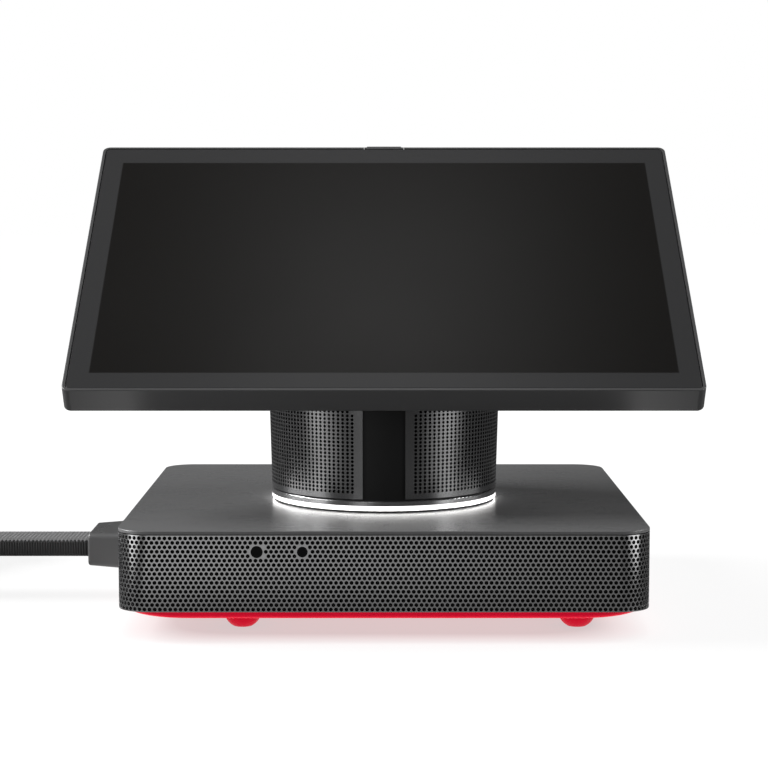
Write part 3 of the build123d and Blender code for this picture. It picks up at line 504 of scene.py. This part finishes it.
def make_grilles():
    """One flat sheet of holes, copied and wrapped round each half of the column, then cut at the slant."""
    tile = tile_with_hole("grille_tile", GRILLE_HOLE_SIDES, GRILLE_HOLE, square_point)
    sheet = sheet_of_tiles(tile, "column_grille_field", GRILLE_COLUMNS, GRILLE_ROWS, GRILLE_PITCH,
                           GRILLE_ROW_STEP, 0)
    sheet.data.transform(Matrix.Translation((GRILLE_PITCH / 2, GRILLE_ROW_STEP / 2, 0)))
    add_margins(sheet, GRILLE_COLUMNS * GRILLE_PITCH, GRILLE_ROWS * GRILLE_ROW_STEP)
    sheet.data.transform(Matrix.Translation((GRILLE_MARGIN, GRILLE_FOOT_MARGIN, 0)))
    run = grille_run + 2 * GRILLE_MARGIN
    close_holes(sheet, lambda middle: breaks_top_border(middle, run))
    thicken(sheet, SHELL_WALL)
    halves = []
    for name, side in (("left", -1), ("right", 1)):
        half = copy_of(sheet, f"speaker_grille_{name}")
        for vertex in half.data.vertices:
            flat = vertex.co.copy()
            vertex.co = column_place(flat.x / run, grille_low + flat.y, abs(flat.z), side)
        front = Vector((0, COL_Y - column_radius(CUT_FRONT_Z), CUT_FRONT_Z))
        in_edit(half, lambda: bpy.ops.mesh.bisect(
            plane_co=front, plane_no=(0, -math.sin(CUT_ANGLE), math.cos(CUT_ANGLE)), use_fill=True,
            clear_outer=True))
        in_edit(half, lambda: bpy.ops.mesh.normals_make_consistent(inside=False))
        bpy.ops.object.shade_smooth_by_angle(angle=math.radians(30))
        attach(half, "column")
        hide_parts(f"column_grille_{name}")
        halves.append(half)
    bpy.data.objects.remove(sheet)
    return halves


grille_halves = make_grilles()


# ------------------------------------------------------------------ materials
class Finish:
    """A material with short calls for the nodes that its pattern needs."""

    def __init__(self, name, colour, roughness, metallic=0.0, specular=0.5):
        self.material = bpy.data.materials.new(name)
        self.material.use_nodes = True
        self.nodes = self.material.node_tree.nodes
        self.links = self.material.node_tree.links
        self.shader = self.nodes["Principled BSDF"]
        self.shader.inputs["Base Color"].default_value = (*colour, 1)
        self.shader.inputs["Roughness"].default_value = roughness
        self.shader.inputs["Metallic"].default_value = metallic
        self.shader.inputs["Specular IOR Level"].default_value = specular
        self.coords = self.nodes.new("ShaderNodeTexCoord")
        self.bumps = []

    def plug(self, value, socket):
        """Link a socket, or set a plain number on it."""
        if isinstance(value, bpy.types.NodeSocket):
            self.links.new(value, socket)
        else:
            socket.default_value = value

    def math(self, how, first, second=0.0, third=0.0):
        node = self.nodes.new("ShaderNodeMath")
        node.operation = how
        for value, socket in zip((first, second, third), node.inputs):
            self.plug(value, socket)
        return node.outputs[0]

    def noise(self, scale, detail=2.0, where=None, stretch=None):
        source = where or self.coords.outputs["Object"]
        if stretch:
            mapping = self.nodes.new("ShaderNodeMapping")
            mapping.inputs["Scale"].default_value = stretch
            self.links.new(source, mapping.inputs["Vector"])
            source = mapping.outputs["Vector"]
        node = self.nodes.new("ShaderNodeTexNoise")
        node.inputs["Scale"].default_value = scale
        node.inputs["Detail"].default_value = detail
        self.links.new(source, node.inputs["Vector"])
        return node.outputs["Fac"]

    def span(self, value, low, high, from_low=0.0, from_high=1.0):
        node = self.nodes.new("ShaderNodeMapRange")
        self.plug(value, node.inputs["Value"])
        for key, number in (("From Min", from_low), ("From Max", from_high),
                            ("To Min", low), ("To Max", high)):
            node.inputs[key].default_value = number
        return node.outputs["Result"]

    def tint(self, factor, dark, light):
        """Base colour that runs from one tone to the other."""
        node = self.nodes.new("ShaderNodeMix")
        node.data_type = "RGBA"
        self.plug(factor, node.inputs["Factor"])
        node.inputs["A"].default_value = (*dark, 1)
        node.inputs["B"].default_value = (*light, 1)
        self.links.new(node.outputs["Result"], self.shader.inputs["Base Color"])

    def bump(self, height, distance, strength=1.0):
        node = self.nodes.new("ShaderNodeBump")
        node.inputs["Distance"].default_value = distance
        node.inputs["Strength"].default_value = strength
        self.links.new(height, node.inputs["Height"])
        if self.bumps:
            self.links.new(self.bumps[-1], node.inputs["Normal"])
        self.bumps.append(node.outputs["Normal"])
        self.links.new(node.outputs["Normal"], self.shader.inputs["Normal"])

    def rough(self, value):
        self.links.new(value, self.shader.inputs["Roughness"])


def scaled(colour, factor):
    """A darker or lighter tone of one colour."""
    return tuple(min(channel * factor, 1.0) for channel in colour)


def painted(name, colour, roughness, metallic=0.0, specular=0.5):
    """Sprayed metal: slow drift of tone, with a fine grain in its sheen."""
    finish = Finish(name, colour, roughness, metallic, specular)
    finish.tint(finish.noise(9, 3), scaled(colour, 0.94), scaled(colour, 1.06))
    grain = finish.math("MULTIPLY", finish.noise(40, 4), finish.noise(2200, 2))
    finish.rough(finish.span(grain, roughness - 0.02, roughness + 0.03, 0.1, 0.5))
    return finish


def moulded(name, colour, roughness, grain_scale=3200, grain=0.03 * MM, specular=0.5):
    """Moulded plastic with a fine spark texture."""
    finish = Finish(name, colour, roughness, 0.0, specular)
    finish.tint(finish.noise(14, 3), scaled(colour, 0.9), scaled(colour, 1.1))
    finish.rough(finish.span(finish.noise(60, 3), roughness - 0.05, roughness + 0.06))
    finish.bump(finish.noise(grain_scale, 2), grain, 0.2)
    return finish


def metal(name, colour, roughness):
    """Bare metal with faint brushing."""
    finish = Finish(name, colour, roughness, 1.0)
    lines = finish.noise(260, 3, stretch=(1, 1, 30))
    finish.rough(finish.span(lines, roughness - 0.08, roughness + 0.1))
    finish.tint(finish.noise(30, 2), scaled(colour, 0.9), colour)
    finish.bump(lines, 0.01 * MM, 0.2)
    return finish


def woven(name, colour, pitch=0.6 * MM):
    """Open acoustic cloth: crossed threads with dark gaps between them."""
    finish = Finish(name, colour, 0.95)
    parts = finish.nodes.new("ShaderNodeSeparateXYZ")
    finish.links.new(finish.coords.outputs["Object"], parts.inputs[0])
    turns = 2 * math.pi / pitch
    waves = [finish.math("SINE", finish.math("MULTIPLY", parts.outputs[axis], turns)) for axis in (0, 1, 2)]
    weave = finish.math("ABSOLUTE", finish.math("MULTIPLY", finish.math("ADD", waves[0], waves[1]), waves[2]))
    finish.tint(weave, scaled(colour, 0.35), scaled(colour, 1.5))
    finish.bump(weave, 0.1 * MM, 0.6)
    return finish


YARN_PITCH = 1.5
YARN_SLANT = 0.5


def braided(name, colour):
    """Braided yarn on the sleeve's own lengthwise and crosswise scale, in millimetres, with painted shade
    between the yarns and on its narrow edges.
    """
    finish = Finish(name, colour, 0.62, 0.0, 0.35)
    parts = finish.nodes.new("ShaderNodeSeparateXYZ")
    finish.links.new(finish.coords.outputs["UV"], parts.inputs[0])
    along, across = parts.outputs[0], parts.outputs[1]
    slant = finish.math("MULTIPLY", across, YARN_SLANT)
    rise = finish.math("DIVIDE", finish.math("ADD", along, slant), YARN_PITCH)
    fall = finish.math("DIVIDE", finish.math("SUBTRACT", along, slant), YARN_PITCH)
    crossings = finish.math("ADD", finish.math("FLOOR", rise), finish.math("FLOOR", fall))
    over = finish.math("PINGPONG", crossings, 1.0)
    dome_rise = finish.math("SINE", finish.math("MULTIPLY", finish.math("FRACT", rise), math.pi))
    dome_fall = finish.math("SINE", finish.math("MULTIPLY", finish.math("FRACT", fall), math.pi))
    keep_rise = finish.math("MULTIPLY", dome_rise, over)
    keep_fall = finish.math("MULTIPLY", dome_fall, finish.math("SUBTRACT", 1.0, over))
    crossed = finish.math("ADD", keep_rise, keep_fall)
    ribs = finish.math("ABSOLUTE", finish.math("SINE", finish.math("MULTIPLY", along, math.pi / RIB_PITCH)))
    round_half = SLEEVE_HALF_GIRTH / MM
    past_flat = finish.math("SUBTRACT", finish.math("MODULO", across, round_half), SLEEVE_FLAT_RUN / MM)
    on_edge = finish.span(past_flat, 0, 1, -0.2, 0.5)
    height = finish.math("ADD", finish.math("MULTIPLY", ribs, on_edge),
                         finish.math("MULTIPLY", crossed, finish.math("SUBTRACT", 1.0, on_edge)))
    fibre = finish.noise(24, 3, where=finish.coords.outputs["UV"], stretch=(1, 0.25, 1))
    # Tone follows the yarn height as painted shade between the yarns and between the ribs, plus a random
    # fibre tone.
    shade = finish.math("ADD", finish.math("MULTIPLY", height, 0.75), finish.math("MULTIPLY", fibre, 0.25))
    # The narrow edge faces are darkened to a quarter as painted shade.
    shade = finish.math("MULTIPLY", shade, finish.span(on_edge, 1.0, 0.25))
    finish.tint(shade, scaled(colour, 0.06), scaled(colour, 1.8))
    finish.bump(height, 0.32 * MM, 0.9)
    finish.bump(fibre, 0.03 * MM, 0.4)
    finish.shader.inputs["Sheen Weight"].default_value = 0.3
    finish.shader.inputs["Sheen Roughness"].default_value = 0.5
    return finish


SCREEN_LEAN = math.radians(90 - 54.65)
LIT_HALF_WIDE = 108.5 * MM
LIT_HALF_TALL = 67.8 * MM
LIT_SHIFT = -0.7 * MM
LIT_EDGE = 0.25 * MM


def screen_glass(name):
    """Anti-glare glass: painted dark grey round the border, deeper and slightly warm over the panel."""
    border, panel = (0.038, 0.038, 0.039), (0.0075, 0.0068, 0.0062)
    finish = Finish(name, border, 0.3)
    mapping = finish.nodes.new("ShaderNodeMapping")
    mapping.vector_type = "TEXTURE"
    mapping.inputs["Location"].default_value = node_middle("lcd_panel")
    mapping.inputs["Rotation"].default_value = (SCREEN_LEAN, 0, 0)
    finish.links.new(finish.coords.outputs["Object"], mapping.inputs["Vector"])
    parts = finish.nodes.new("ShaderNodeSeparateXYZ")
    finish.links.new(mapping.outputs["Vector"], parts.inputs[0])
    sideways = finish.math("ABSOLUTE", parts.outputs[0])
    upwards = finish.math("ABSOLUTE", finish.math("SUBTRACT", parts.outputs[1], LIT_SHIFT))
    inside_x = finish.span(sideways, 1, 0, LIT_HALF_WIDE - LIT_EDGE, LIT_HALF_WIDE + LIT_EDGE)
    inside_y = finish.span(upwards, 1, 0, LIT_HALF_TALL - LIT_EDGE, LIT_HALF_TALL + LIT_EDGE)
    inside = finish.math("MULTIPLY", inside_x, inside_y)
    finish.tint(inside, border, panel)
    haze = finish.noise(3500, 2)
    finish.rough(finish.span(finish.noise(11, 3), 0.26, 0.34))
    finish.bump(haze, 0.004 * MM, 0.15)
    return finish


def glowing(name, side, under):
    """Frosted light guide that is brightest on its underside, where it floods the plate."""
    finish = Finish(name, (0.9, 0.9, 0.9), 0.35)
    parts = finish.nodes.new("ShaderNodeSeparateXYZ")
    finish.links.new(finish.coords.outputs["Object"], parts.inputs[0])
    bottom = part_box("light_ring")[0][2]
    level = finish.span(parts.outputs[2], under, side, bottom + 0.02 * MM, bottom + 0.08 * MM)
    finish.links.new(level, finish.shader.inputs["Emission Strength"])
    finish.shader.inputs["Emission Color"].default_value = (1.0, 0.985, 0.97, 1)
    finish.bump(finish.noise(900, 2), 0.01 * MM, 0.2)
    return finish


def circuit(name):
    """Green solder mask with copper runs showing through as a faint grid."""
    finish = Finish(name, (0.012, 0.07, 0.035), 0.4)
    brick = finish.nodes.new("ShaderNodeTexBrick")
    brick.inputs["Scale"].default_value = 320
    brick.inputs["Color1"].default_value = (0.010, 0.060, 0.030, 1)
    brick.inputs["Color2"].default_value = (0.014, 0.085, 0.042, 1)
    brick.inputs["Mortar"].default_value = (0.03, 0.13, 0.07, 1)
    finish.links.new(finish.coords.outputs["Object"], brick.inputs["Vector"])
    finish.links.new(brick.outputs["Color"], finish.shader.inputs["Base Color"])
    return finish


FINISHES = {
    "plate_grey": painted("plate_satin_grey", (0.155, 0.155, 0.157), 0.28, specular=0.4),
    "band_grey": painted("band_satin_grey", (0.76, 0.76, 0.765), 0.15, metallic=0.98),
    "column_grey": painted("grille_satin_grey", (0.26, 0.26, 0.263), 0.24, metallic=0.97),
    "collar_grey": painted("collar_satin_grey", (0.40, 0.40, 0.404), 0.22, metallic=0.9),
    "strip_black": moulded("strip_black_grain", (0.009, 0.009, 0.0092), 0.5, specular=0.35),
    "frame_black": moulded("frame_dark_grey", (0.085, 0.085, 0.086), 0.30, 1200, 0.002 * MM, specular=0.7),
    "cover_grey": moulded("rear_cover_spark_grain", (0.035, 0.035, 0.037), 0.5, 2400, 0.05 * MM),
    "screen_glass": screen_glass("anti_glare_glass"),
    "screen_panel": moulded("panel_off_black", (0.01, 0.01, 0.011), 0.3),
    "black_moulding": moulded("moulded_black", (0.018, 0.018, 0.019), 0.5),
    "red_moulding": moulded("moulded_signal_red", (0.98, 0.001, 0.034), 0.45, 3200, 0.015 * MM,
                            specular=0.12),
    "red_rubber": moulded("rubber_signal_red", (0.47, 0.001, 0.018), 0.5, 2600, 0.02 * MM, specular=0.05),
    "boot_rubber": moulded("boot_soft_black", (0.10, 0.10, 0.101), 0.28, 3600, 0.004 * MM),
    "braided_sleeve": braided("sleeve_braid", (0.058, 0.058, 0.06)),
    "hook_and_loop": woven("tie_brushed_loops", (0.03, 0.03, 0.03), 0.9 * MM),
    "acoustic_cloth": woven("acoustic_cloth_black", (0.006, 0.006, 0.006)),
    "zinc_steel": metal("steel_zinc_plated", (0.55, 0.56, 0.57), 0.35),
    "bare_aluminium": metal("aluminium_blasted", (0.75, 0.75, 0.76), 0.45),
    "bronze_bush": metal("bronze_sintered", (0.55, 0.38, 0.18), 0.4),
    "circuit_board": circuit("solder_mask_green"),
    "cone_paper": moulded("cone_pressed_paper", (0.03, 0.03, 0.03), 0.8, 900, 0.08 * MM),
    "dark_lens": moulded("lens_polished_black", (0.004, 0.004, 0.0045), 0.08, 900, 0.001 * MM, specular=0.12),
    "white_light_guide": glowing("light_ring_lit", 1.5, 8.5),
}


def dress():
    """Give every CAD node and every new piece the finish of its record slot."""
    slots = {entry["node"]: entry["material_slot"] for entry in frame["record"]["subparts"]}
    for node, piece in frame["nodes"].items():
        piece.data.materials.clear()
        piece.data.materials.append(FINISHES[slots[node]].material)
    for piece in band_sides:
        piece.data.materials.append(FINISHES["band_grey"].material)
    for piece in grille_halves:
        piece.data.materials.append(FINISHES["column_grey"].material)
    sleeve.data.materials.append(FINISHES["braided_sleeve"].material)


dress()


# ------------------------------------------------------------------ studio
FLOOR_SIZE = 16
FRONT_PATCH_AHEAD = 0.44
SIDE_PATCH_AHEAD = 0.24
ROOM_LIGHT = 0.03


def softbox(name, place, aim, size, power):
    """A large area light at one place that looks at another."""
    bpy.ops.object.light_add(type="AREA", location=place)
    lamp = bpy.context.object
    lamp.name = name
    lamp.data.shape = "RECTANGLE"
    lamp.data.size, lamp.data.size_y = size
    lamp.data.energy = power
    lamp.rotation_euler = (Vector(aim) - Vector(place)).to_track_quat("-Z", "Y").to_euler()


def seen_level(nodes, links, dim, seen):
    """One strength for what the eye sees directly and a dimmer one for what the object is lit by."""
    rays = nodes.new("ShaderNodeLightPath")
    level = nodes.new("ShaderNodeMix")
    for value, socket in ((dim, level.inputs["A"]), (seen, level.inputs["B"])):
        if isinstance(value, bpy.types.NodeSocket):
            links.new(value, socket)
        else:
            socket.default_value = value
    links.new(rays.outputs["Is Camera Ray"], level.inputs["Factor"])
    return level.outputs["Result"]


def white_paper():
    """Floor paper that looks white away from the object, with a painted contact shadow under and round it.

    What it throws at the object is dimmer still, apart from a patch in front and one on each side
    that the metal mirrors.
    """
    paper = Finish("studio_white_paper", (0.6, 0.6, 0.6), 0.9, specular=0.0)
    paper.tint(seen_level(paper.nodes, paper.links, 0.0, 1.0), (0.06, 0.06, 0.06), (0.13, 0.13, 0.13))
    parts = paper.nodes.new("ShaderNodeSeparateXYZ")
    paper.links.new(paper.coords.outputs["Object"], parts.inputs[0])
    left_right, front_back = parts.outputs[0], parts.outputs[1]
    sideways = paper.math("ABSOLUTE", left_right)
    from_base = paper.math("SMOOTH_MAX", sideways, paper.math("ABSOLUTE", front_back), 0.04)
    # Seen by the eye: emission dimmed near the base as a painted contact shadow, rising to white further out.
    white = paper.math("ADD", paper.span(from_base, 0.56, 0.89, 0.078, 0.098),
                       paper.span(from_base, 0.0, 0.11, 0.16, 0.34))
    under = paper.span(from_base, 1.3, 0.02, 0.09, 0.14)
    from_patch = paper.math("ABSOLUTE", paper.math("ADD", front_back, FRONT_PATCH_AHEAD))
    in_depth = paper.span(from_patch, 1.0, 0.0, 0.21, 0.29)
    in_width = paper.span(sideways, 1.0, 0.0, 0.13, 0.18)
    front_level = paper.span(left_right, 0.29, 0.03, -0.13, 0.13)
    front = paper.math("MULTIPLY", paper.math("MULTIPLY", in_depth, in_width), front_level)
    from_sides = paper.math("ABSOLUTE", paper.math("ADD", front_back, SIDE_PATCH_AHEAD))
    beside = paper.math("MULTIPLY", paper.span(sideways, 0.0, 1.0, 0.22, 0.27),
                        paper.span(from_sides, 0.9, 0.0, 0.09, 0.12))
    bounce = paper.math("ADD", paper.math("ADD", under, front), beside)
    paper.shader.inputs["Emission Color"].default_value = (1, 1, 1, 1)
    strength = seen_level(paper.nodes, paper.links, bounce, white)
    paper.links.new(strength, paper.shader.inputs["Emission Strength"])
    return paper


def make_studio():
    """Floor, six softboxes and a dim white room."""
    deselect()
    bpy.ops.mesh.primitive_plane_add(size=FLOOR_SIZE, location=(0, 0, 0))
    floor = bpy.context.object
    floor.name = "studio_floor"
    floor.data.materials.append(white_paper().material)
    softbox("left_key", (-1.25, 0.15, 0.78), (0, 0, 0.05), (0.8, 0.7), 36)
    softbox("front_left_fill", (-0.62, -1.5, 0.20), (0, 0, 0.04), (0.5, 0.3), 1.2)
    softbox("right_fill", (1.2, 0.05, 0.7), (0, 0, 0.05), (0.8, 0.7), 11)
    softbox("left_strip", (-1.0, -0.40, 0.30), (0, -0.05, 0.06), (0.34, 0.6), 2.6)
    softbox("right_strip", (0.96, -0.46, 0.30), (0, -0.05, 0.06), (0.34, 0.6), 2.2)
    softbox("overhead_glow", (0, 0.35, 1.5), (0, 0, 0.12), (0.3, 0.2), 0.22)
    world = bpy.data.worlds.new("studio_world")
    scene.world = world
    world.use_nodes = True
    backdrop = world.node_tree.nodes["Background"]
    backdrop.inputs["Color"].default_value = (1, 1, 1, 1)
    level = seen_level(world.node_tree.nodes, world.node_tree.links, ROOM_LIGHT, 1.0)
    world.node_tree.links.new(level, backdrop.inputs["Strength"])
    scene.view_settings.view_transform = "Standard"


make_studio()
